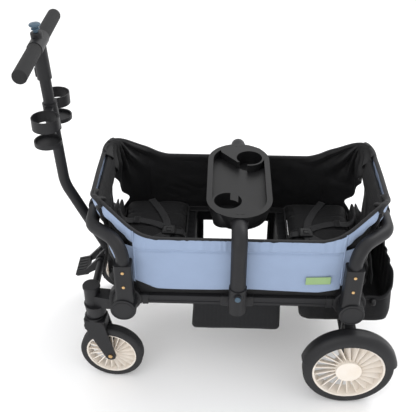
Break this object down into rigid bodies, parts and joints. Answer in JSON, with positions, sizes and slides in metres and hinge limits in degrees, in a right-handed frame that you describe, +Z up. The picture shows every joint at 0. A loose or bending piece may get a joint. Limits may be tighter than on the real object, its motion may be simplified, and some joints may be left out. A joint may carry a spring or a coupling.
{
  "type": "kids pull wagon",
  "caption": "Two-child pull wagon with a fabric tub, facing seats, folding end hoops, swivelling front casters, fendered rear wheels, tee pull handle and a lift-off snack tray.",
  "frame": {"origin": "on the ground, midway between the four fold hubs", "axes": "+X towards the fendered rear wheels (the pull handle is at -X), +Y to the wagon's right side, +Z up"},
  "size_m": [1.1204, 0.68, 1.1544],
  "materials": {
    "frame_paint": "satin powder coat",
    "moulded_plastic": "fine textured",
    "tray_plastic": "fine textured",
    "gold_steel": "satin",
    "bolt_steel": "zinc plated",
    "blue_plastic": "satin",
    "tyre_foam": "matte foam rubber",
    "cream_rim": "satin",
    "blue_fabric": "fine woven polyester",
    "black_fabric": "woven polyester",
    "grip_foam": "foam grip"
  },
  "bodies": {
    "chassis": {"side_rail_left": "frame_paint", "side_rail_right": "frame_paint", "rail_collars": "moulded_plastic", "centre_brackets": "moulded_plastic", "hub_housings": "moulded_plastic", "hub_bolts": "bolt_steel", "cross_tubes": "frame_paint", "caster_arms": "moulded_plastic", "caster_posts": "moulded_plastic", "caster_bearings": "bolt_steel", "handle_bracket": "moulded_plastic", "handle_pivot_bolt": "bolt_steel", "rear_legs": "frame_paint", "rear_axle": "frame_paint", "rear_fenders": "moulded_plastic", "front_seat": "black_fabric", "rear_seat": "black_fabric", "footwell": "black_fabric", "side_wall_left": "blue_fabric", "side_wall_right": "blue_fabric", "front_backrest": "black_fabric", "rear_backrest": "black_fabric", "corner_gussets": "black_fabric", "harnesses": "black_fabric", "rear_basket": "black_fabric"},
    "front_hoop": {"front_hinge_arms": "moulded_plastic", "front_arm_rivets": "gold_steel", "front_hoop_tube": "frame_paint", "front_end_band": "black_fabric", "front_hoop_straps": "black_fabric"},
    "rear_hoop": {"rear_hinge_arms": "moulded_plastic", "rear_arm_rivets": "gold_steel", "rear_hoop_tube": "frame_paint", "rear_end_band": "black_fabric", "rear_hoop_straps": "black_fabric"},
    "handle": {"handle_tube": "frame_paint", "handle_head": "moulded_plastic", "handle_bar": "frame_paint", "handle_grips": "grip_foam", "cup_holders": "moulded_plastic"},
    "handle_knob": {"handle_knob": "blue_plastic"},
    "tray_arch": {"tray_bar_posts": "frame_paint", "tray": "tray_plastic"},
    "tray_button_left": {"tray_button_left": "blue_plastic"},
    "tray_button_right": {"tray_button_right": "blue_plastic"},
    "caster_left": {"caster_fork_left": "moulded_plastic", "front_axle_left": "gold_steel"},
    "caster_right": {"caster_fork_right": "moulded_plastic", "front_axle_right": "gold_steel"},
    "front_wheel_left": {"front_tyre_left": "tyre_foam", "front_rim_left": "cream_rim"},
    "front_wheel_right": {"front_tyre_right": "tyre_foam", "front_rim_right": "cream_rim"},
    "rear_wheel_left": {"rear_tyre_left": "tyre_foam", "rear_rim_left": "cream_rim"},
    "rear_wheel_right": {"rear_tyre_right": "tyre_foam", "rear_rim_right": "cream_rim"},
    "front_pedal": {"front_foot_pedal": "moulded_plastic"},
    "brake": {"parking_brake": "moulded_plastic"}
  },
  "joints": [
    {"name": "front_fold", "type": "hinge", "parent": "chassis", "child": "front_hoop", "pos_m": [-0.348, 0, 0.36], "axis": [0, 1, 0], "range_deg": [0, 82], "deforming": ["side_wall_left", "side_wall_right", "corner_gussets"]},
    {"name": "rear_fold", "type": "hinge", "parent": "chassis", "child": "rear_hoop", "pos_m": [0.348, 0, 0.36], "axis": [0, -1, 0], "range_deg": [0, 82], "deforming": ["side_wall_left", "side_wall_right", "corner_gussets"]},
    {"name": "handle_tilt", "type": "hinge", "parent": "chassis", "child": "handle", "pos_m": [-0.435, 0, 0.365], "axis": [0, -1, 0], "range_deg": [0, 62]},
    {"name": "handle_knob_press", "type": "slide", "parent": "handle", "child": "handle_knob", "axis": [0.0535, 0, -0.9986], "range_m": [0, 0.006], "stiffness_N_per_m": 500, "springref_m": -0.001},
    {"name": "tray_lift", "type": "slide", "parent": "chassis", "child": "tray_arch", "axis": [0, 0, 1], "range_m": [0, 0.12]},
    {"name": "tray_button_press_left", "type": "slide", "parent": "chassis", "child": "tray_button_left", "axis": [0, 1, 0], "range_m": [0, 0.0022], "stiffness_N_per_m": 500, "springref_m": -0.0005},
    {"name": "tray_button_press_right", "type": "slide", "parent": "chassis", "child": "tray_button_right", "axis": [0, -1, 0], "range_m": [0, 0.0022], "stiffness_N_per_m": 500, "springref_m": -0.0005},
    {"name": "front_pedal_press", "type": "hinge", "parent": "chassis", "child": "front_pedal", "pos_m": [-0.457, 0, 0.33], "axis": [0, -1, 0], "range_deg": [0, 15], "stiffness_Nm_per_rad": 2, "springref_deg": -6.88},
    {"name": "brake_press", "type": "hinge", "parent": "chassis", "child": "brake", "pos_m": [0.36, 0, 0.145], "axis": [0, 1, 0], "range_deg": [0, 12]},
    {"name": "caster_swivel_left", "type": "hinge", "parent": "chassis", "child": "caster_left", "pos_m": [-0.457, -0.214, 0.3], "axis": [0, 0, 1], "continuous": true},
    {"name": "front_wheel_spin_left", "type": "hinge", "parent": "caster_left", "child": "front_wheel_left", "pos_m": [-0.40827, -0.21912, 0.105], "axis": [0.1045, 0.9945, 0], "continuous": true},
    {"name": "rear_wheel_spin_left", "type": "hinge", "parent": "chassis", "child": "rear_wheel_left", "pos_m": [0.36, -0.309, 0.145], "axis": [0, 1, 0], "continuous": true},
    {"name": "caster_swivel_right", "type": "hinge", "parent": "chassis", "child": "caster_right", "pos_m": [-0.457, 0.214, 0.3], "axis": [0, 0, 1], "continuous": true},
    {"name": "front_wheel_spin_right", "type": "hinge", "parent": "caster_right", "child": "front_wheel_right", "pos_m": [-0.40812, 0.21742, 0.105], "axis": [-0.0698, 0.9976, 0], "continuous": true},
    {"name": "rear_wheel_spin_right", "type": "hinge", "parent": "chassis", "child": "rear_wheel_right", "pos_m": [0.36, 0.309, 0.145], "axis": [0, 1, 0], "continuous": true}
  ],
  "couplings": [
    {"joint": "rear_fold", "follows": "front_fold", "ratio": 1}
  ]
}
